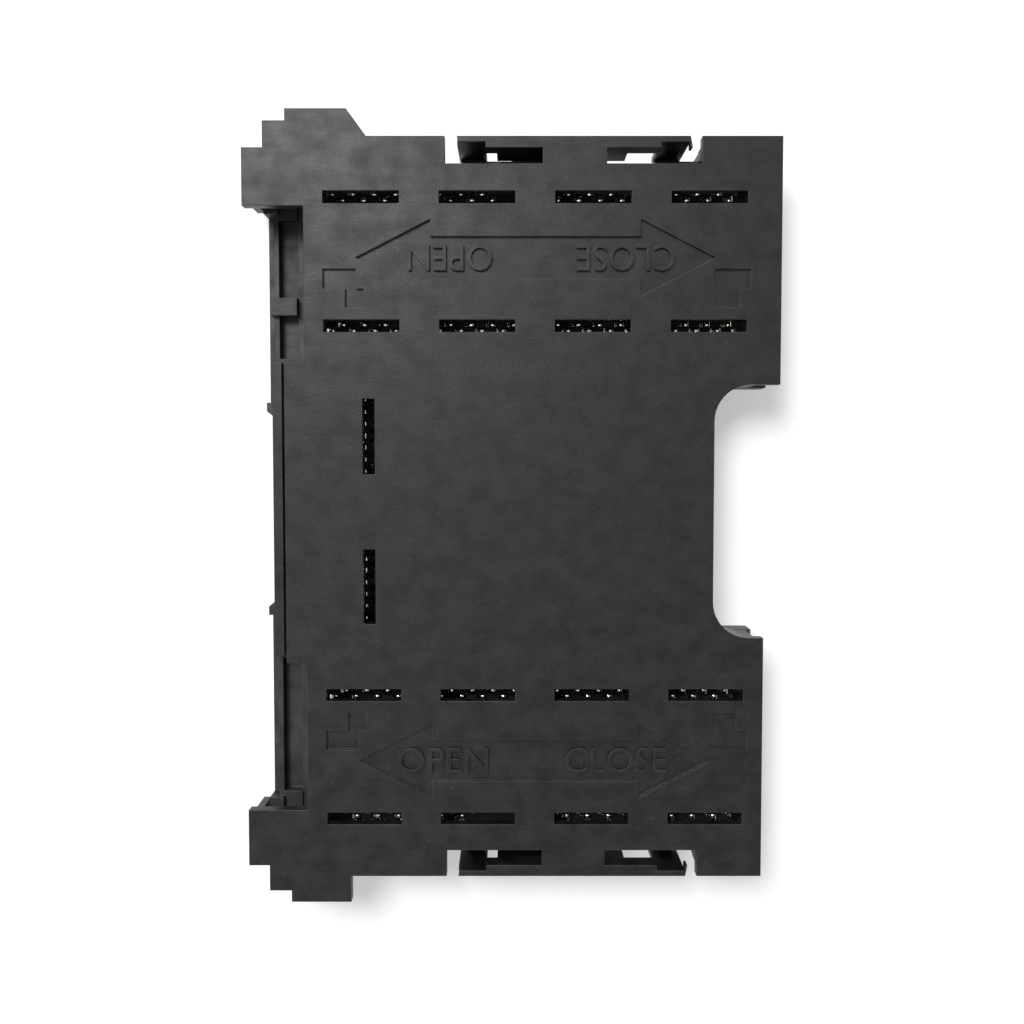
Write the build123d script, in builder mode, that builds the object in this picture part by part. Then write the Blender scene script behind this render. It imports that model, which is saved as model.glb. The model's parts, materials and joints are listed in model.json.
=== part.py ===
from build123d import *
import os

# One half of a ball-grid processor socket, ball side down, with its pick-and-place cover on.
# X runs towards the deep notch, Y along the longer side, Z up from the board.
# Millimetres. The origin is the middle of the ball field, on the board.

# Outline that the other sizes follow
body_half_width = 26.8
housing_left = -19.75
arm_end_front = 19.4
arm_lead = 1.0
arm_end_back = arm_end_front + arm_lead

# Ball field: columns along Y, each second column moved by half a row
column_pitch = 0.8585
row_pitch = 0.9906
field_side_margin = 1.0
field_left_margin = 3.4
field_right_margin = 0.5
first_column_x = housing_left + field_left_margin
column_count = int((arm_end_back - field_right_margin - first_column_x) / column_pitch) + 1
row_count = 2 * int((body_half_width - field_side_margin) / row_pitch) + 1
ball_width = 0.56
ball_lift = 0.02
seat_gap = 0.01

# Places of the field without a ball
corner_cut_rows = 3.25
first_column_short = 11.8
second_column_short = 2.5
front_arm_short = 1.6
last_column_gap = 3.0
notch_margin = 2.5
front_mouth_margin = 1.5
end_notch_margin = 1.0
end_notch_columns = 2
end_margin_slope = 2.9
hole_margin_x = 0.85
hole_margin_y = 1.2
hole_taper_start = 1.6

# Housing heights
underside_z = 0.36
floor_z = 2.2
rail_z = 2.45
corner_wall_z = 3.0

# Rails around the contact floor
field_rail = 0.8
end_rail = 2.6

# Closed end between its notch and the corner walls: a low step outside and a trench inside
end_step = 0.7
end_step_z = 1.0
trench_start = 1.1
trench_z = 1.4
trench_gap = 0.4
end_key_start = 0.45
end_key_span = (15.5, 16.9)

# Notch for the processor's middle, at the open end, and the shallow one at the closed end
notch_inner_x = 6.7
notch_inner_half = 5.3
notch_mouth_x = 14.46
notch_mouth_half = 9.78
notch_rail = 1.3
end_notch_half = 7.9
end_notch_inner_half = 5.15
end_notch_depth = 3.4
end_notch_rail = 0.7

# Corner blocks that guide the processor
corner_block_length = 6.45
corner_block_reach = 3.8
corner_block_width = 2.0
corner_wall_start = 3.3
corner_wall_thickness = 1.15
corner_round = 0.5
corner_block_right = housing_left + corner_block_length
corner_block_half = body_half_width + corner_block_reach
corner_block_inner = corner_block_half - corner_block_width
corner_wall_inner = body_half_width - corner_wall_start

# Side lugs: standoffs below, seats for the cover above
lug_reach = 1.5
lug_length = 5.0
end_lug_length = 4.5
end_lug_inset = 0.1
middle_lug_left = 0.0
lug_half_width = body_half_width + lug_reach
end_lug_right = arm_end_front - end_lug_inset
lug_spans = (
    (corner_block_right, corner_block_right + lug_length),
    (middle_lug_left, middle_lug_left + lug_length),
    (end_lug_right - end_lug_length, end_lug_right),
)

# Core-outs, grooves, holes and alignment marks in the underside
core_depth = 1.5
core_width = 0.7
core_bar_inset = 0.75
core_bar_pitch = 1.75
core_bar_length = 2.9
core_bar_end = 0.6
core_side_inset = 0.93
core_side_length = 4.6
core_stub_inset = 2.75
core_stub_length = 2.0
core_start = 0.3
groove_depth = 0.35
end_groove_width = 0.85
end_groove_inset = 1.7
end_groove_spans = ((8.6, 12.9), (17.3, 22.4))
side_groove_width = 0.5
side_groove_inset = 0.45
side_groove_spans = ((-15.5, -8.4), (-7.0, -2.3), (2.6, 7.8), (8.6, 13.5), (14.6, 18.8))
hole_length = 2.1
hole_width = 1.0
hole_depth = 1.4
hole_inset = 1.15
hole_spots = ((-1.15, hole_inset - body_half_width), (0.95, body_half_width - hole_inset))
mark_size = 1.6
mark_tail = 0.9
mark_spots = ((-3.47, -10.9), (-3.47, 10.9))

# Cover heights and walls
cover_top = 7.0
plate_thickness = 1.0
skirt_wall = 0.9
skirt_z = 3.1
foot_gap = 0.05

# Cover outline
cover_overhang = 0.1
cover_side_overhang = 0.15
cover_half_width = lug_half_width + cover_side_overhang
cover_setback = 3.9
cover_middle_step = 1.55
cover_middle_half = 11.7
cover_left = housing_left + cover_setback
cover_middle_left = cover_left - cover_middle_step
skirt_side_inset = 0.5
skirt_end_inset = 0.6
skirt_half_width = body_half_width - skirt_side_inset
lip_inset = 0.75
lip_z = 2.95
lip_thickness = 0.9
lip_rim = 0.75
lip_web = 0.4
lip_left = housing_left + lip_inset
bay_inner_x = 15.5
bay_clearance = 0.03
bay_half = notch_mouth_half - bay_clearance
bay_round = 2.8
bay_pad_z = 3.6
bay_pad_gap = 1.2

# Finger tabs over the corner blocks
tab_reach = 0.75
tab_step = 1.6
tab_width = 4.35
tab_rise = 0.8
tab_inset = 0.1
tab_step_rise = 0.9
tab_top_inset = 3.3
tab_top_overhang = 0.75
tab_bevel = 1.5
tab_left = housing_left - tab_reach
tab_outer = body_half_width + tab_rise
tab_span = (tab_outer - tab_width, tab_outer)
tab_half = corner_block_half - tab_inset
tab_step_left = tab_left + tab_step
tab_step_half = tab_half - tab_step_rise
tab_top_left = tab_left + tab_top_inset
tab_top_right = corner_block_right + tab_top_overhang
stop_z = 1.6
stop_gap = 0.15
stop_inset = 0.6

# Slots over the contacts
slot_length = 5.8
slot_width = 0.95
slot_side_inset = 2.9
slot_columns = (-11.475, -2.65, 6.175, 15.0)
slot_rows = (14.2, body_half_width - slot_side_inset)
end_slot_x = -10.98
end_slot_y = 5.78

# Latch arms, two on each long side, with hooks under the housing's ledges
window_gap = 0.1
arm_thickness = 0.85
arm_depth = 1.7
window_inner = skirt_half_width + window_gap
arm_inner = cover_half_width - arm_thickness
leg_thickness = 0.42
hook_radius = 1.1
hook_z = 0.95
hook_height = 0.75
hook_spots = (-3.1, 12.4)
arm_roots = (2.34, 7.2)
gusset_lengths = (3.5, 1.7)
slit_gap = 0.9
slit_lean = 0.4
cover_travel = 1.5
ledge_reach = 0.95
ledge_gap = 0.15

# Contacts
contact_height = 0.5
contact_width = 0.3
contact_foot = 0.34
contact_tip = 0.14
contact_lean = 0.3

SIDES = (1, -1)
plate_z = cover_top - plate_thickness


def span_box(x_span, y_span, z_span, mode=Mode.ADD):
    """A box between two opposite corners, in the part that is being built."""
    spans = (x_span, y_span, z_span)
    with Locations(tuple(sum(span) / 2 for span in spans)):
        Box(*[abs(span[1] - span[0]) for span in spans], mode=mode)


def span_rectangle(x_span, y_span, mode=Mode.ADD):
    """A rectangle between two opposite corners, in the sketch that is being drawn."""
    spans = (x_span, y_span)
    with Locations(tuple(sum(span) / 2 for span in spans)):
        Rectangle(*[abs(span[1] - span[0]) for span in spans], mode=mode)


def mirrored_polygon(half, mode=Mode.ADD):
    """A polygon that is the same on both sides of the X axis."""
    Polygon(*half, *[(x, -y) for x, y in reversed(half)], align=None, mode=mode)


def on_side(side, span):
    """A span along Y, on the back (1) or the front (-1) of the part."""
    return (side * span[0], side * span[1])


def about(middle, width):
    """A span of a width about its middle."""
    return (middle - width / 2, middle + width / 2)


def notch_half_at(x):
    """Half the width of the deep notch at a place along X."""
    slope = (notch_mouth_half - notch_inner_half) / (notch_mouth_x - notch_inner_x)
    return min(notch_inner_half + (x - notch_inner_x) * slope, notch_mouth_half)


def cut_deep_notch(rail=0):
    """Take the deep notch, wider by a rail all round, out of a sketch."""
    half = [
        (notch_inner_x - rail, notch_inner_half + rail / 2),
        (notch_mouth_x - rail / 2, notch_mouth_half + rail),
        (arm_end_back + rail, notch_mouth_half + rail),
    ]
    mirrored_polygon(half, Mode.SUBTRACT)


def cut_end_notch(rail=0):
    """Take the shallow notch of the closed end, wider by a rail, out of a sketch."""
    half = [
        (housing_left - rail, end_notch_half + rail),
        (housing_left, end_notch_half + rail),
        (housing_left + end_notch_depth + rail, end_notch_inner_half + rail),
    ]
    mirrored_polygon(half, Mode.SUBTRACT)


def lattice():
    """All places of the hexagonal ball lattice."""
    middle_row = (row_count - 1) / 2
    for column in range(column_count):
        half_step = 0 if column % 2 else 0.5
        rows = row_count if column % 2 else row_count - 1
        for row in range(rows):
            x = first_column_x + column * column_pitch
            yield (x, (row + half_step - middle_row) * row_pitch)


def within(x, y, spot, length, width):
    """Whether a place lies in a rectangle about a spot."""
    return abs(x - spot[0]) < length / 2 and abs(y - spot[1]) < width / 2


def at_corner(column, y):
    """Whether a place is in one of the field's cut corners, or beyond the end of an arm."""
    first_row_y = -(row_count - 1) / 2 * row_pitch
    if y < first_row_y + (corner_cut_rows - column) * row_pitch:
        return True
    if column == column_count - 1:
        return y < notch_mouth_half + last_column_gap
    if column == column_count - 2:
        return -y > body_half_width - front_arm_short
    shorts = {0: first_column_short, 1: second_column_short}
    return column in shorts and y > body_half_width - shorts[column]


def at_notch(column, x, y):
    """Whether a place is in one of the two notches or on its rim."""
    if column < end_notch_columns:
        end_limit = end_notch_half - end_notch_margin - end_margin_slope * (x - first_column_x)
        return abs(y - row_pitch / 2) < end_limit
    deep_limit = notch_half_at(x) + notch_margin
    if y < 0:
        deep_limit = min(deep_limit, notch_mouth_half + front_mouth_margin)
    return x > notch_inner_x and abs(y) < deep_limit


def at_hole(x, y):
    """Whether a place is too near to a hole at the field's edge or to an alignment mark."""
    for hole_x, hole_y in hole_spots:
        side = 1 if hole_y > 0 else -1
        past = side * (hole_x - x)
        inner_edge = abs(hole_y) - hole_width / 2 - hole_margin_y
        inner_edge += max(0, past - hole_taper_start)
        if past > -hole_length / 2 - hole_margin_x and side * y > inner_edge:
            return True
    mark_zone = (mark_size + column_pitch, mark_size + column_pitch)
    lattice_slope = row_pitch / 2 / column_pitch
    for mark_x, mark_y in mark_spots:
        if within(x, y - (x - mark_x) * lattice_slope, (mark_x, mark_y), *mark_zone):
            return True
    return False


def under_slot(x, y):
    """Whether a place lies under one of the cover's slots."""
    if within(x, abs(y), (end_slot_x, end_slot_y), slot_width + contact_foot, slot_length):
        return True
    zone = (slot_length, slot_width)
    return any(within(x, abs(y), (sx, sy), *zone) for sx in slot_columns for sy in slot_rows)


def cover_outline(half_width, inset):
    """The cover's outline from above without its tabs, as wide as asked, with its bay."""
    span_rectangle((cover_left, arm_end_front - inset), (-half_width, half_width))
    span_rectangle((cover_middle_left, cover_left), (-cover_middle_half, cover_middle_half))
    with Locations((bay_inner_x + bay_half, 0)):
        RectangleRounded(2 * bay_half, 2 * bay_half, bay_round, mode=Mode.SUBTRACT)


def finger_tab(side):
    """The stepped outline of one finger tab."""
    span_rectangle((tab_left, cover_left), on_side(side, tab_span))
    span_rectangle((tab_step_left, cover_left), on_side(side, (tab_span[1], tab_step_half)))
    span_rectangle((tab_top_left, tab_top_right), on_side(side, (tab_span[0], tab_half)))


def cut_latch_windows(side):
    """Free the two latch arms of one long side of the cover."""
    edge = side * (cover_half_width + cover_overhang)
    thin = cover_half_width - leg_thickness
    for spot, root in zip(hook_spots, arm_roots):
        outward = 1 if spot > root else -1
        tip = spot + outward * hook_radius
        end = tip + outward * slit_gap
        span_rectangle((root, end), on_side(side, (window_inner, arm_inner)), Mode.SUBTRACT)
        leg_span = about(spot, 2 * hook_radius)
        span_rectangle(leg_span, on_side(side, (arm_inner, thin)), Mode.SUBTRACT)
        slit = [
            (tip + slit_lean, side * window_inner), (end, side * window_inner),
            (end, edge), (tip, edge),
        ]
        Polygon(*slit, align=None, mode=Mode.SUBTRACT)


# Housing: one moulding with the ball field below and the contact floor above
with BuildPart() as housing:
    with BuildSketch(Plane.XY.offset(underside_z)):
        span_rectangle((housing_left, arm_end_front), (-body_half_width, body_half_width))
        span_rectangle((arm_end_front, arm_end_back), (0, body_half_width))
        for side in SIDES:
            for lug in lug_spans:
                span_rectangle(lug, on_side(side, (body_half_width, lug_half_width)))
            block = on_side(side, (body_half_width, corner_block_half))
            span_rectangle((housing_left, corner_block_right), block)
        cut_deep_notch()
        cut_end_notch()
    extrude(amount=rail_z - underside_z)

    # Contact floor, sunk below the rails that the processor rests on
    with BuildSketch(Plane.XY.offset(rail_z)):
        field_half = body_half_width - field_rail
        field_span = (housing_left + end_rail, arm_end_front - field_rail / 2)
        span_rectangle(field_span, (-field_half, field_half))
        span_rectangle((max(field_span), max(field_span) + arm_lead), (0, field_half))
        cut_deep_notch(notch_rail)
        cut_end_notch(end_notch_rail)
    extrude(amount=floor_z - rail_z, mode=Mode.SUBTRACT)

    for side in SIDES:
        # Raised corner walls
        wall_height = (rail_z, corner_wall_z)
        long_wall = on_side(side, (corner_block_inner, corner_block_half))
        span_box((housing_left, corner_block_right), long_wall, wall_height)
        short_wall = on_side(side, (corner_wall_inner, corner_block_half))
        span_box((housing_left, housing_left + corner_wall_thickness), short_wall, wall_height)
        # Step and trench of the closed end
        end_span = on_side(side, (end_notch_half + end_notch_rail, corner_wall_inner))
        step_span = (housing_left, housing_left + end_step)
        span_box(step_span, end_span, (end_step_z, rail_z), Mode.SUBTRACT)
        trench_span = (housing_left + trench_start, housing_left + end_rail)
        trench_ends = (cover_middle_half + trench_gap, corner_wall_inner - trench_gap)
        span_box(trench_span, on_side(side, trench_ends), (trench_z, rail_z), Mode.SUBTRACT)
        # Standoffs that sit on the board
        for lug in lug_spans:
            span_box(lug, on_side(side, (body_half_width, lug_half_width)), (0, underside_z))
        # Ledges that the cover's hooks catch under
        for spot, lug in zip(hook_spots, lug_spans[1:]):
            ledge_start = spot + hook_radius - cover_travel + ledge_gap
            ledge_reach_span = on_side(side, (body_half_width, body_half_width + ledge_reach))
            ledge_bottom = hook_z + hook_height + ledge_gap
            span_box((ledge_start, lug[0]), ledge_reach_span, (ledge_bottom, rail_z))
        # Core-outs of the corner blocks
        core_height = (underside_z, underside_z + core_depth)
        bar_right = corner_block_right - core_bar_end
        bar_row = corner_block_half - core_bar_inset
        for row in (bar_row, bar_row - core_bar_pitch):
            bar_span = (bar_right - core_bar_length, bar_right)
            span_box(bar_span, about(side * row, core_width), core_height, Mode.SUBTRACT)
        uprights = ((core_side_inset, core_side_length), (core_stub_inset, core_stub_length))
        for inset, length in uprights:
            core_x_span = about(housing_left + inset, core_width)
            core_y_span = (corner_wall_inner + core_start, corner_wall_inner + core_start + length)
            span_box(core_x_span, on_side(side, core_y_span), core_height, Mode.SUBTRACT)
        # Shallow grooves of the underside
        groove_height = (underside_z, underside_z + groove_depth)
        for groove in end_groove_spans:
            groove_width_span = about(housing_left + end_groove_inset, end_groove_width)
            span_box(groove_width_span, on_side(side, groove), groove_height, Mode.SUBTRACT)
        for groove in side_groove_spans:
            groove_row = side * (body_half_width - side_groove_inset)
            groove_width_span = about(groove_row, side_groove_width)
            span_box(groove, groove_width_span, groove_height, Mode.SUBTRACT)
    # Holes at the field's edge, and alignment marks inside it
    for hole_x, hole_y in hole_spots:
        hole_spans = (about(hole_x, hole_length), about(hole_y, hole_width))
        span_box(*hole_spans, (underside_z, underside_z + hole_depth), Mode.SUBTRACT)
    for mark_x, mark_y in mark_spots:
        mark_spans = (about(mark_x, mark_size), about(mark_y, mark_size))
        span_box(*mark_spans, groove_height, Mode.SUBTRACT)
        tail_spans = ((mark_x, mark_x + mark_tail), (mark_y, mark_y + mark_size / 2 + mark_tail))
        span_box(*tail_spans, groove_height, Mode.SUBTRACT)
    # Key across the step and the trench, at the back only
    key_span = (housing_left + end_key_start, housing_left + end_rail)
    span_box(key_span, end_key_span, (end_step_z, corner_wall_z))
    # Rounded outer corners of the corner blocks
    end_edges = housing.edges().filter_by(Axis.Z).group_by(Axis.X)[0]
    fillet(end_edges.filter_by(lambda edge: abs(edge.center().Y) > lug_half_width), corner_round)

# Cover: one moulding, an inverted tray with latch arms
with BuildPart() as cover:
    with BuildSketch(Plane.XY.offset(plate_z)):
        cover_outline(cover_half_width, 0)
        span_rectangle((arm_end_front, arm_end_back + cover_overhang), (bay_half, cover_half_width))
        bevel = [
            (tab_top_right, tab_half), (tab_top_right, cover_half_width),
            (tab_top_right + tab_bevel, cover_half_width),
        ]
        Polygon(*bevel, align=None)
        for side in SIDES:
            finger_tab(side)
            with Locations(*[(x, side * y) for x in slot_columns for y in slot_rows]):
                Rectangle(slot_length, slot_width, mode=Mode.SUBTRACT)
            with Locations((end_slot_x, side * end_slot_y)):
                Rectangle(slot_width, slot_length, mode=Mode.SUBTRACT)
            cut_latch_windows(side)
    extrude(amount=plate_thickness)

    # Skirt that hangs around the contact field
    with BuildSketch(Plane.XY.offset(plate_z)):
        cover_outline(skirt_half_width, skirt_end_inset)
        offset(amount=-skirt_wall, kind=Kind.INTERSECTION, mode=Mode.SUBTRACT)
    extrude(amount=skirt_z - plate_z)

    # Pad under the plate, in the housing's deep notch
    with BuildSketch(Plane.XY.offset(plate_z)):
        pad_left = notch_inner_x + cover_travel + bay_pad_gap
        pad_shoulder = bay_inner_x - bay_round / 2
        pad_half = [
            (x, notch_half_at(x - cover_travel) - bay_pad_gap / 2) for x in (pad_left, pad_shoulder)
        ]
        mirrored_polygon([*pad_half, (bay_inner_x, bay_half - bay_round)])
    extrude(amount=bay_pad_z - plate_z)

    # Lip along the middle of the closed end
    lip_span = (lip_left, cover_middle_left + skirt_wall)
    lip_height = (lip_z, lip_z + lip_thickness)
    lip_width_span = (-cover_middle_half, cover_middle_half)
    span_box(lip_span, lip_width_span, lip_height)
    channel_span = (lip_left + lip_rim, cover_middle_left)
    span_box(channel_span, lip_width_span, (lip_z + lip_web, max(lip_height)), Mode.SUBTRACT)

    for side in SIDES:
        # Stops that hang from the finger tabs, outside the housing's end
        stop_span = (tab_span[0] + stop_inset, tab_span[1] - stop_inset)
        stop_height = (stop_z, plate_z)
        span_box((tab_left, housing_left - stop_gap), on_side(side, stop_span), stop_height)
        # Feet on the housing's lugs
        foot_spans = (lug_spans[0], (arm_roots[0], lug_spans[1][1]), lug_spans[2])
        foot_depth = on_side(side, (cover_half_width - skirt_wall, cover_half_width))
        for foot in foot_spans:
            span_box(foot, foot_depth, (rail_z + foot_gap, plate_z))
        # Arms, their legs and the hooks
        outer = side * cover_half_width
        for spot, root, gusset in zip(hook_spots, arm_roots, gusset_lengths):
            leg_span = about(spot, 2 * hook_radius)
            towards = 1 if spot > root else -1
            arm_span = (root, spot - towards * hook_radius)
            arm_width_span = (side * arm_inner, outer)
            span_box(arm_span, arm_width_span, (cover_top - arm_depth, plate_z))
            span_box((root, root + towards * gusset), arm_width_span, (skirt_z, plate_z))
            span_box(leg_span, (outer - side * leg_thickness, outer), (hook_z, plate_z))
            with BuildSketch(Plane.XY.offset(hook_z)):
                with Locations((spot, outer)):
                    Circle(hook_radius)
                outside = (outer, outer + side * hook_radius)
                span_rectangle(leg_span, outside, Mode.SUBTRACT)
            extrude(amount=hook_height)

# Solder balls: four facets each, one ball for each contact
half_ball = ball_width / 2
ball_top = underside_z - seat_gap
ball_ring = [(half_ball, 0), (0, half_ball), (-half_ball, 0), (0, -half_ball)]
ball_corners = [Vector(x, y, ball_top) for x, y in ball_ring]
ball_tip = Vector(0, 0, ball_lift)
ball_faces = [Face(Wire.make_polygon(ball_corners))]
for corner, following in zip(ball_corners, ball_corners[1:] + ball_corners[:1]):
    ball_faces.append(Face(Wire.make_polygon([corner, following, ball_tip])))
ball = Solid(Shell(ball_faces))
ball_places = []
for place_x, place_y in lattice():
    place_column = round((place_x - first_column_x) / column_pitch)
    empty = at_corner(place_column, place_y) or at_notch(place_column, place_x, place_y)
    if not empty and not at_hole(place_x, place_y):
        ball_places.append((place_x, place_y))
solder_balls = Compound([ball.moved(Location(place)) for place in ball_places])

# Contacts: the spring tips that stand under the cover's slots
with BuildPart() as contact:
    with BuildSketch(Plane.XZ.offset(-contact_width / 2)):
        contact_base = floor_z + seat_gap
        contact_top = floor_z + contact_height
        blade = [
            (-contact_foot, contact_base), (0, contact_base),
            (contact_lean, contact_top), (contact_lean - contact_tip, contact_top),
        ]
        Polygon(*blade, align=None)
    extrude(amount=contact_width)
contact_places = [place for place in ball_places if under_slot(*place)]
contacts = Compound([contact.part.solid().moved(Location(place)) for place in contact_places])

os.makedirs("parts", exist_ok=True)
housing.part.label = "housing"
export_step(housing.part, "parts/housing.step")
cover.part.label = "cover"
export_step(cover.part, "parts/cover.step")
solder_balls.label = "solder_balls"
export_step(solder_balls, "parts/solder_balls.step")
contacts.label = "contacts"
export_step(contacts, "parts/contacts.step")
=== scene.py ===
import json
import math

import bmesh
import bpy
import numpy as np
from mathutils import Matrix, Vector

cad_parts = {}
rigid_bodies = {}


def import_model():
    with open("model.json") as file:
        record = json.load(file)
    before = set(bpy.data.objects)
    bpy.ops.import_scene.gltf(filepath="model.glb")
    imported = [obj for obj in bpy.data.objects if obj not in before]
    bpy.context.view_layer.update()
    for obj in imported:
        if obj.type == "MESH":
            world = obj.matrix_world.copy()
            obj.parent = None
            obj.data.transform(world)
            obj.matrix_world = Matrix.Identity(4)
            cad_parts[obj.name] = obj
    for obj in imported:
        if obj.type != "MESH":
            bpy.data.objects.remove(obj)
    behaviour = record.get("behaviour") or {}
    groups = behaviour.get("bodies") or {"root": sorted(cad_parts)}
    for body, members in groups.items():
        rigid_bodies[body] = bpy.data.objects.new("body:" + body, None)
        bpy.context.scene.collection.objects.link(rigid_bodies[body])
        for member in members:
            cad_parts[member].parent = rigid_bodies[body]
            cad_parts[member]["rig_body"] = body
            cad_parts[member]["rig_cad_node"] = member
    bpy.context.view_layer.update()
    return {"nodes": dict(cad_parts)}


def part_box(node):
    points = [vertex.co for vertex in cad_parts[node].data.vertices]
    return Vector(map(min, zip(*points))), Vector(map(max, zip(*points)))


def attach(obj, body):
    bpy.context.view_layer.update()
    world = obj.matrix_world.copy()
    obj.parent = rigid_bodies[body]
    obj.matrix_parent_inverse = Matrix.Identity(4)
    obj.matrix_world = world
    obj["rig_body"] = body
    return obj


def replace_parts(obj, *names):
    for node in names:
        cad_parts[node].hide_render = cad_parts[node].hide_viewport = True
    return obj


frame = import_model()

# Looks of a processor socket half with its pick-and-place cover on.
# Sizes are written in millimetres of the part's frame and turned into metres by MM.
MM = 0.001
square = ((-1, -1), (1, -1), (1, 1), (-1, 1))
nodes = frame["nodes"]
cover_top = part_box("cover")[1].z / MM
contact_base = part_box("contacts")[0].z / MM
contact_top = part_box("contacts")[1].z / MM
ball_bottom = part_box("solder_balls")[0].z / MM
ball_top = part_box("solder_balls")[1].z / MM

# Sunk signs of the cover's top
sign_depth = 0.3
arrow_middle = 1.8
arrow_row = 19.35
arrow_reach = 13.7
arrow_head = 5.7
arrow_half_head = 2.9
arrow_half_shaft = 1.6
mark_rows = (18.5, 17.0, 15.6)
left_mark = (-14.4, -11.9, -12.7, -11.3)
right_mark = (15.4, 18.2, 15.5, 17.4)

# Raised words in the arrows: text, middle along X, width
word_height = 2.0
word_rise = 0.28
word_sink = 0.02
back_words = (("OPEN", -4.7, 6.4), ("CLOSE", 8.65, 7.5))
front_words = (("OPEN", -5.35, 7.0), ("CLOSE", 8.1, 7.9))

letter_steps = 3
letter_extrude = 0.5

# Round solder balls: rings at angles from the bottom, in degrees
ball_radius = 0.3
ball_segments = 12
ball_angles = (34.0, 64.0, 88.0)
ball_last_step = 6.0

# Contact springs: stations along the blade as reach, share of the height, half width
spring_stations = (
    (-0.34, 0.0, 0.17), (-0.14, 0.1, 0.17), (0.0, 0.45, 0.17),
    (0.08, 0.92, 0.21), (0.2, 1.0, 0.21), (0.35, 0.97, 0.21), (0.42, 0.84, 0.18),
)
spring_thickness = 0.07
spring_crown = 0.36
spring_sharp_angle = 50.0

# Dark sheets of painted shade at the mouths of the contact cavities
cavity_length = 0.74
cavity_width = 0.5
cavity_shift = 0.02
cavity_lift = 0.004

# Camera above the cover, a little towards the back of the part
camera_height = 84.0
camera_back = 4.1
camera_lens = 38.5

# Joining of the CAD faces: distance between equal corners, angle of flat edges in degrees
weld_distance = 0.0005
flat_angle = 0.5
sharp_angle = 25.0

# Plastics: dark tone, light tone, pale tone of the specks and of the painted edge highlight,
# least and most roughness
cover_look = (
    (0.003, 0.003, 0.0031), (0.016, 0.016, 0.0167), (0.15, 0.15, 0.156), (0.37, 0.46),
)
housing_look = (
    (0.016, 0.016, 0.0167), (0.04, 0.04, 0.042), (0.085, 0.085, 0.089), (0.42, 0.56),
)
plastic_specular = 0.25

# Surface of the plastics: size and detail of each noise, and the span of it that is used
clouds_noise = (1.7, 6.0)
streaks_noise = (0.5, 2.0, (6, 1, 1))
grain_noise = (0.16, 2.0)
specks_noise = (0.22, 1.0)
clouds_in_tone = 0.8
tone_span = (0.38, 0.62)
gloss_span = (0.35, 0.65)
specks_strength = 0.2
specks_span = (0.66, 0.8)
grain_in_height = 0.7
grain_depth = 0.012
# Rounded edges with a painted highlight along them: radius and samples of the rounding, span of
# the edge mask, uneven strength of the painted highlight
edge_radius = 0.09
edge_samples = 6
edge_span = (0.75, 0.995)
edge_highlight_strength = (0.3, 0.8)

# Metals: dark tone, light tone, least and most roughness, size of the uneven patches
solder_look = ((0.66, 0.67, 0.68), (0.86, 0.87, 0.88), (0.18, 0.36), 0.5)
contact_look = ((0.8, 0.74, 0.6), (0.95, 0.92, 0.82), (0.12, 0.22), 0.3)
patch_detail = 3.0
fine_part = 3
fine_detail = 2.0
fine_depth = 0.01

# Painted shade of the cavities: tones, roughness and noise
cavity_shade_tones = ((0.004, 0.004, 0.004), (0.012, 0.012, 0.012))
cavity_roughness = (0.7, 0.95)
cavity_noise = (0.4, 2.0)

# Studio: lamps as name, place, side and power in watts
lamps = (
    ("overhead", (-150.0, 220.0, 500.0), 200.0, 2.75),
    ("key", (-120.0, 450.0, 340.0), 240.0, 0.25),
    ("fill", (-150.0, -130.0, 500.0), 160.0, 0.11),
)
sky_strength = 0.18
pure_white = (1.0, 1.0, 1.0, 1.0)
floor_half = 3000.0
floor_tone = 0.72
floor_glow = 0.42
floor_near = 80.0
floor_far = 300.0


def mesh_object(name, vertices, faces, smooth=True):
    """An object with a new mesh, from places in millimetres."""
    mesh = bpy.data.meshes.new(name)
    mesh.from_pydata([[value * MM for value in place] for place in vertices], [], faces)
    mesh.validate()
    mesh.polygons.foreach_set("use_smooth", [smooth] * len(mesh.polygons))
    made = bpy.data.objects.new(name, mesh)
    bpy.context.scene.collection.objects.link(made)
    return made


def dress(piece, body, material):
    """Let a piece ride on a body and give it its material."""
    piece.data.materials.clear()
    piece.data.materials.append(material)
    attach(piece, body)
    return piece


def repeat(places, vertices, faces):
    """Copies of one small mesh at many places along X and Y."""
    block = np.array(vertices, float)
    all_vertices = []
    all_faces = []
    for x, y in places:
        start = len(all_vertices)
        all_vertices.extend((block + (x, y, 0.0)).tolist())
        all_faces.extend([[start + corner for corner in face] for face in faces])
    return all_vertices, all_faces


def prism(outline, low, high):
    """Vertices and faces of an upright prism over an outline."""
    count = len(outline)
    vertices = [(x, y, low) for x, y in outline] + [(x, y, high) for x, y in outline]
    faces = [list(range(count))[::-1], list(range(count, 2 * count))]
    for corner in range(count):
        following = (corner + 1) % count
        faces.append([corner, following, following + count, corner + count])
    return vertices, faces


def arrow_outline(row):
    """A two-headed arrow along X."""
    neck = arrow_reach - arrow_head
    half = [
        (arrow_reach, 0.0), (neck, arrow_half_head), (neck, arrow_half_shaft),
        (-neck, arrow_half_shaft), (-neck, arrow_half_head), (-arrow_reach, 0.0),
    ]
    other = [(x, -y) for x, y in half[-2:0:-1]]
    return [(arrow_middle + x, row + y) for x, y in half + other]


def mark_outline(side, outer_left, outer_right, inner_left, inner_right):
    """A stepped mark: a rectangle at the outer row with a smaller one on its inner side."""
    outer, middle, inner = mark_rows
    outline = [
        (outer_left, outer), (outer_left, middle), (inner_left, middle), (inner_left, inner),
        (inner_right, inner), (inner_right, middle), (outer_right, middle), (outer_right, outer),
    ]
    turned = [(x, side * y) for x, y in outline]
    return turned if side > 0 else turned[::-1]


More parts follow.
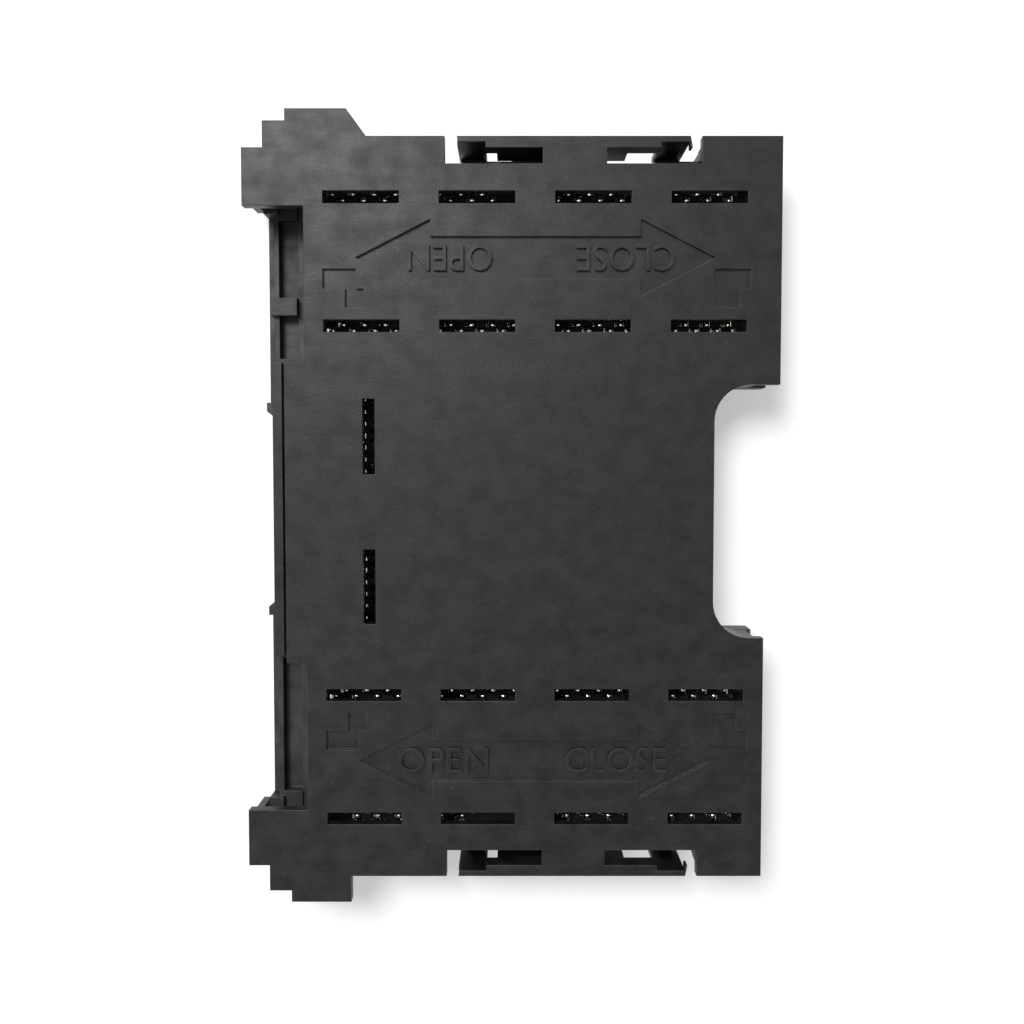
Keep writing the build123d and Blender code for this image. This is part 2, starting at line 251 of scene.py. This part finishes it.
def clean_copy(node, name):
    """A copy of a CAD node with its loose faces joined into one closed mesh."""
    made = nodes[node].copy()
    made.data = nodes[node].data.copy()
    made.name = name
    made.parent = None
    bpy.context.scene.collection.objects.link(made)
    imported_normals = made.data.attributes.get("custom_normal")
    if imported_normals:
        made.data.attributes.remove(imported_normals)
    joined = bmesh.new()
    joined.from_mesh(made.data)
    bmesh.ops.remove_doubles(joined, verts=joined.verts, dist=weld_distance * MM)
    bmesh.ops.dissolve_limit(
        joined, angle_limit=math.radians(flat_angle), verts=joined.verts, edges=joined.edges
    )
    joined.to_mesh(made.data)
    joined.free()
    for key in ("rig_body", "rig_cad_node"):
        if key in made:
            del made[key]
    return made


def cut_with(target, cutter):
    """Take a cutter out of a target and remove the cutter."""
    cut = target.modifiers.new("signs", "BOOLEAN")
    cut.operation = "DIFFERENCE"
    cut.solver = "EXACT"
    cut.object = cutter
    bpy.context.view_layer.update()
    graph = bpy.context.evaluated_depsgraph_get()
    result = bpy.data.meshes.new_from_object(target.evaluated_get(graph))
    target.modifiers.clear()
    target.data = result
    bpy.data.objects.remove(cutter)


def sharpen(piece, degrees=sharp_angle):
    """Smooth shading with sharp edges where faces meet at an angle."""
    piece.data.polygons.foreach_set("use_smooth", [True] * len(piece.data.polygons))
    piece.data.set_sharp_from_angle(angle=math.radians(degrees))


def signed_cover():
    """The cover with its sunk arrows and corner marks."""
    outlines = [arrow_outline(arrow_row), arrow_outline(-arrow_row)]
    for side in (1, -1):
        outlines.append(mark_outline(side, *left_mark))
        outlines.append(mark_outline(side, *right_mark))
    vertices = []
    faces = []
    for outline in outlines:
        places, sides = prism(outline, cover_top - sign_depth, cover_top + sign_depth)
        faces.extend([[len(vertices) + corner for corner in side] for side in sides])
        vertices.extend(places)
    cutter = mesh_object("sign_cutter", vertices, faces, smooth=False)
    piece = clean_copy("cover", "cover_moulding")
    cut_with(piece, cutter)
    sharpen(piece)
    return piece


def raised_words():
    """The words that stand in the arrows, readable from both long sides."""
    made = []
    for side, words in ((1, back_words), (-1, front_words)):
        for text, middle, width in words:
            made.append(raised_word(text, middle, side * arrow_row, width, side > 0))
    joined = made[0]
    with bpy.context.temp_override(active_object=joined, selected_editable_objects=made):
        bpy.ops.object.join()
    joined.name = "cover_words"
    sharpen(joined)
    return joined


def raised_word(text, middle, row, width, upside_down):
    """One word as a flat raised mesh, fitted to its width and height."""
    curve = bpy.data.curves.new("word", "FONT")
    curve.body = text
    curve.extrude = letter_extrude
    curve.resolution_u = letter_steps
    written = bpy.data.objects.new("word", curve)
    bpy.context.scene.collection.objects.link(written)
    bpy.context.view_layer.update()
    graph = bpy.context.evaluated_depsgraph_get()
    mesh = bpy.data.meshes.new_from_object(written.evaluated_get(graph))
    bpy.data.objects.remove(written)
    places = np.array([vertex.co for vertex in mesh.vertices])
    low, high = places.min(0), places.max(0)
    panel = cover_top - sign_depth
    size = np.array((width, word_height, word_rise + word_sink))
    centre = np.array((middle, row, panel + (word_rise - word_sink) / 2))
    flat = (places - (low + high) / 2) / (high - low) * size
    if upside_down:
        flat[:, :2] *= -1
    mesh.vertices.foreach_set("co", ((flat + centre) * MM).ravel())
    made = bpy.data.objects.new("word", mesh)
    bpy.context.scene.collection.objects.link(made)
    return made


def ball_places():
    """The places of the solder balls, read from the tips of the frame's balls."""
    places = np.array([vertex.co for vertex in nodes["solder_balls"].data.vertices]) / MM
    tips = places[places[:, 2] < (ball_bottom + ball_top) / 2][:, :2]
    return np.unique(np.round(tips, 2), axis=0)


def round_balls(places):
    """Round solder balls, open where they meet the housing."""
    middle = ball_bottom + ball_radius
    seat = math.degrees(math.acos((middle - ball_top) / ball_radius))
    rings = (*ball_angles, max(seat, ball_angles[-1] + ball_last_step))
    vertices = [(0, 0, ball_bottom)]
    for ring in rings:
        tilt = math.radians(ring)
        for segment in range(ball_segments):
            turn = 2 * math.pi * segment / ball_segments
            across = ball_radius * math.sin(tilt)
            height = middle - ball_radius * math.cos(tilt)
            vertices.append((across * math.cos(turn), across * math.sin(turn), height))
    faces = []
    for segment in range(ball_segments):
        following = (segment + 1) % ball_segments
        faces.append([0, 1 + following, 1 + segment])
        for ring in range(len(rings) - 1):
            start = 1 + ring * ball_segments
            beyond = start + ball_segments
            near_side = [start + segment, start + following]
            faces.append([*near_side, beyond + following, beyond + segment])
    return mesh_object("round_solder_balls", *repeat(places, vertices, faces))


def contact_springs(places):
    """A bent spring blade with a crowned back above each ball."""
    vertices = []
    for reach, share, half in spring_stations:
        height = contact_base + share * (contact_top - contact_base)
        shoulder = height - spring_crown * half * share
        low = shoulder - spring_thickness * share
        vertices += [(reach, -half, low), (reach, half, low), (reach, half, shoulder)]
        vertices += [(reach, 0.0, height), (reach, -half, shoulder)]
    corners = len(vertices) // len(spring_stations)
    faces = [list(range(corners))[::-1]]
    for start in range(0, len(vertices) - corners, corners):
        for side in range(corners):
            following = (side + 1) % corners
            beyond = start + corners
            faces.append([start + side, start + following, beyond + following, beyond + side])
    faces.append(list(range(len(vertices) - corners, len(vertices))))
    piece = mesh_object("contact_springs", *repeat(places, vertices, faces))
    sharpen(piece, spring_sharp_angle)
    return piece


def painted_cavity_shade(places):
    """Dark sheets at the mouths of the housing's contact cavities: painted shade of the
    cavities.
    """
    height = contact_base + cavity_lift
    half_length, half_width = cavity_length / 2, cavity_width / 2
    vertices = [(cavity_shift + x * half_length, y * half_width, height) for x, y in square]
    mouths = repeat(places, vertices, [[0, 1, 2, 3]])
    return mesh_object("painted_cavity_shade", *mouths, smooth=False)


class Shader:
    """A material with a principled shader, and short ways to add nodes to it."""

    def __init__(self, name):
        self.material = bpy.data.materials.new(name)
        self.material.use_nodes = True
        self.tree = self.material.node_tree
        self.shader = self.tree.nodes["Principled BSDF"]
        self.place = self.add("ShaderNodeTexCoord").outputs["Object"]

    def add(self, kind, **settings):
        made = self.tree.nodes.new(kind)
        for name, value in settings.items():
            setattr(made, name, value)
        return made

    def link(self, source, target):
        self.tree.links.new(source, target)

    def noise(self, feature, detail, stretch=(1, 1, 1)):
        """Noise with features of a size in millimetres, stretched along the axes."""
        scaled = self.add("ShaderNodeMapping")
        scaled.inputs["Scale"].default_value = [1 / (feature * MM * part) for part in stretch]
        self.link(self.place, scaled.inputs["Vector"])
        made = self.add("ShaderNodeTexNoise")
        made.inputs["Scale"].default_value = 1.0
        made.inputs["Detail"].default_value = detail
        self.link(scaled.outputs["Vector"], made.inputs["Vector"])
        return made.outputs["Fac"]

    def span(self, value, low, high, start=0.3, end=0.7):
        """A value between start and end, spread between low and high."""
        made = self.add("ShaderNodeMapRange")
        limits = {"From Min": start, "From Max": end, "To Min": low, "To Max": high}
        for name, number in limits.items():
            made.inputs[name].default_value = number
        self.link(value, made.inputs["Value"])
        return made.outputs["Result"]

    def math(self, operation, first, second):
        """A sum or product of two values, each a socket or a number."""
        made = self.add("ShaderNodeMath", operation=operation)
        for socket, value in zip(made.inputs, (first, second)):
            if isinstance(value, (int, float)):
                socket.default_value = value
            else:
                self.link(value, socket)
        return made.outputs["Value"]

    def blend(self, first, second, share):
        """A sum of a share of one value and the rest of another."""
        rest = self.math("MULTIPLY", second, 1.0 - share)
        return self.math("ADD", self.math("MULTIPLY", first, share), rest)

    def mix(self, factor, first, second):
        """A colour between two colours, each a socket or a list of numbers."""
        made = self.add("ShaderNodeMix", data_type="RGBA")
        self.link(factor, made.inputs["Factor"])
        for socket, value in zip((made.inputs[6], made.inputs[7]), (first, second)):
            if isinstance(value, (tuple, list)):
                socket.default_value = (*value, 1.0)
            else:
                self.link(value, socket)
        return made.outputs[2]

    def bump(self, height, depth, normal=None):
        """A normal that is raised by a height map of a depth in millimetres."""
        made = self.add("ShaderNodeBump")
        made.inputs["Strength"].default_value = 1.0
        made.inputs["Distance"].default_value = depth * MM
        self.link(height, made.inputs["Height"])
        if normal is not None:
            self.link(normal, made.inputs["Normal"])
        return made.outputs["Normal"]


def moulded_plastic(name, dark, light, highlight_and_speck_colour, roughness):
    """Black glass-filled plastic: cloudy tone, flow streaks, fine grain, pale specks and a
    painted highlight along the edges.
    """
    paint = Shader(name)
    clouds = paint.noise(*clouds_noise)
    streaks = paint.noise(*streaks_noise)
    grain = paint.noise(*grain_noise)
    specks = paint.noise(*specks_noise)
    tone = paint.blend(clouds, streaks, clouds_in_tone)
    colour = paint.mix(paint.span(tone, 0.0, 1.0, *tone_span), dark, light)
    speckled = paint.span(specks, 0.0, specks_strength, *specks_span)
    colour = paint.mix(speckled, colour, highlight_and_speck_colour)
    rounded = paint.add("ShaderNodeBevel", samples=edge_samples)
    rounded.inputs["Radius"].default_value = edge_radius * MM
    turn = paint.add("ShaderNodeVectorMath", operation="DOT_PRODUCT")
    geometry = paint.add("ShaderNodeNewGeometry")
    paint.link(rounded.outputs["Normal"], turn.inputs[0])
    paint.link(geometry.outputs["Normal"], turn.inputs[1])
    # Painted highlight: where the rounded normal turns from the face's normal, the colour goes
    # towards the pale tone, unevenly with the clouds
    edge = paint.span(turn.outputs["Value"], 1.0, 0.0, *edge_span)
    painted_edge_highlight = paint.math("MULTIPLY", edge, paint.span(clouds, *edge_highlight_strength))
    paint.shader.inputs["Specular IOR Level"].default_value = plastic_specular
    paint.link(paint.mix(painted_edge_highlight, colour, highlight_and_speck_colour), paint.shader.inputs["Base Color"])
    low, high = roughness
    paint.link(paint.span(tone, high, low, *gloss_span), paint.shader.inputs["Roughness"])
    height = paint.blend(grain, streaks, grain_in_height)
    grained = paint.bump(height, grain_depth, rounded.outputs["Normal"])
    paint.link(grained, paint.shader.inputs["Normal"])
    return paint.material


def metal(name, dark, light, roughness, patch_size):
    """Bright metal with a slightly uneven tone and surface."""
    paint = Shader(name)
    paint.shader.inputs["Metallic"].default_value = 1.0
    tone = paint.noise(patch_size, patch_detail)
    colour = paint.mix(paint.span(tone, 0.0, 1.0), dark, light)
    paint.link(colour, paint.shader.inputs["Base Color"])
    low, high = roughness
    paint.link(paint.span(tone, high, low), paint.shader.inputs["Roughness"])
    fine = paint.noise(patch_size / fine_part, fine_detail)
    paint.link(paint.bump(fine, fine_depth), paint.shader.inputs["Normal"])
    return paint.material


def cavity_shade_paint(name):
    """Near-black painted shade of the contact cavities, uneven and dull."""
    paint = Shader(name)
    tone = paint.noise(*cavity_noise)
    colour = paint.mix(paint.span(tone, 0.0, 1.0), *cavity_shade_tones)
    paint.link(colour, paint.shader.inputs["Base Color"])
    paint.link(paint.span(tone, *cavity_roughness), paint.shader.inputs["Roughness"])
    return paint.material


def background_rays(tree):
    """A value of 1 for rays that show the background, straight, off gloss or through glass."""
    path = tree.nodes.new("ShaderNodeLightPath")
    value = path.outputs["Is Camera Ray"]
    for kind in ("Is Glossy Ray", "Is Transmission Ray"):
        either = tree.nodes.new("ShaderNodeMath")
        either.operation = "MAXIMUM"
        tree.links.new(value, either.inputs[0])
        tree.links.new(path.outputs[kind], either.inputs[1])
        value = either.outputs["Value"]
    return value


def floor_white(name):
    """A pale floor, shaded near the part, white farther off and not seen from below."""
    made = bpy.data.materials.new(name)
    made.use_nodes = True
    tree = made.node_tree
    tree.nodes.clear()
    geometry = tree.nodes.new("ShaderNodeNewGeometry")
    distance = tree.nodes.new("ShaderNodeVectorMath")
    distance.operation = "LENGTH"
    tree.links.new(geometry.outputs["Position"], distance.inputs[0])
    spread = tree.nodes.new("ShaderNodeMapRange")
    spread.inputs["From Min"].default_value = floor_near * MM
    spread.inputs["From Max"].default_value = floor_far * MM
    spread.inputs["To Min"].default_value = floor_glow
    spread.inputs["To Max"].default_value = 1.0
    tree.links.new(distance.outputs["Value"], spread.inputs["Value"])
    strength = tree.nodes.new("ShaderNodeMath")
    strength.operation = "MULTIPLY"
    tree.links.new(background_rays(tree), strength.inputs[0])
    tree.links.new(spread.outputs["Result"], strength.inputs[1])
    diffuse = tree.nodes.new("ShaderNodeBsdfDiffuse")
    diffuse.inputs["Color"].default_value = (floor_tone, floor_tone, floor_tone, 1.0)
    emission = tree.nodes.new("ShaderNodeEmission")
    tree.links.new(strength.outputs["Value"], emission.inputs["Strength"])
    total = tree.nodes.new("ShaderNodeAddShader")
    tree.links.new(diffuse.outputs["BSDF"], total.inputs[0])
    tree.links.new(emission.outputs["Emission"], total.inputs[1])
    clear = tree.nodes.new("ShaderNodeBsdfTransparent")
    one_sided = tree.nodes.new("ShaderNodeMixShader")
    tree.links.new(geometry.outputs["Backfacing"], one_sided.inputs["Fac"])
    tree.links.new(total.outputs["Shader"], one_sided.inputs[1])
    tree.links.new(clear.outputs["BSDF"], one_sided.inputs[2])
    output = tree.nodes.new("ShaderNodeOutputMaterial")
    tree.links.new(one_sided.outputs["Shader"], output.inputs["Surface"])
    return made


def area_light(name, place, size, power):
    """A square soft light that faces the middle of the part."""
    lamp = bpy.data.lights.new(name, "AREA")
    lamp.size = size * MM
    lamp.energy = power
    made = bpy.data.objects.new(name, lamp)
    made.location = Vector(place) * MM
    made.rotation_euler = (-Vector(place)).to_track_quat("-Z", "Y").to_euler()
    bpy.context.scene.collection.objects.link(made)


def studio():
    """White surroundings, a pale floor and soft lights from above."""
    scene = bpy.context.scene
    scene.view_settings.view_transform = "Standard"
    world = bpy.data.worlds.new("surroundings")
    scene.world = world
    world.use_nodes = True
    tree = world.node_tree
    sky = tree.nodes["Background"]
    sky.inputs["Color"].default_value = pure_white
    sky.inputs["Strength"].default_value = sky_strength
    backdrop = tree.nodes.new("ShaderNodeBackground")
    backdrop.inputs["Color"].default_value = pure_white
    choice = tree.nodes.new("ShaderNodeMixShader")
    tree.links.new(background_rays(tree), choice.inputs["Fac"])
    tree.links.new(sky.outputs["Background"], choice.inputs[1])
    tree.links.new(backdrop.outputs["Background"], choice.inputs[2])
    tree.links.new(choice.outputs["Shader"], tree.nodes["World Output"].inputs["Surface"])
    corners = [(x * floor_half, y * floor_half, 0) for x, y in square]
    floor = mesh_object("floor", corners, [[0, 1, 2, 3]], smooth=False)
    floor.data.materials.append(floor_white("floor_white"))
    for lamp in lamps:
        area_light(*lamp)


def photograph_camera():
    """A camera straight above the cover, tilted a little, as in a shop photograph."""
    lens = bpy.data.cameras.new("camera")
    lens.lens = camera_lens
    lens.clip_start = MM
    made = bpy.data.objects.new("camera", lens)
    bpy.context.scene.collection.objects.link(made)
    made.location = Vector((0, camera_back * MM, (cover_top + camera_height) * MM))
    made.rotation_euler = (-math.atan(camera_back / camera_height), 0, 0)
    bpy.context.scene.camera = made


cover_plastic = moulded_plastic("cover_plastic", *cover_look)
housing_plastic = moulded_plastic("housing_plastic", *housing_look)
solder = metal("solder", *solder_look)
contact_metal = metal("contact_metal", *contact_look)

nodes["housing"].data.materials.clear()
nodes["housing"].data.materials.append(housing_plastic)
moulding = dress(signed_cover(), "lid", cover_plastic)
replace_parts(moulding, "cover")
dress(raised_words(), "lid", cover_plastic)
field = ball_places()
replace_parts(dress(round_balls(field), "base", solder), "solder_balls")
springs = dress(contact_springs(field), "base", contact_metal)
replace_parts(springs, "contacts")
# Painted shade: dark sheets where the contact cavities open
dress(painted_cavity_shade(field), "base", cavity_shade_paint("cavity_shade_paint"))

studio()
photograph_camera()
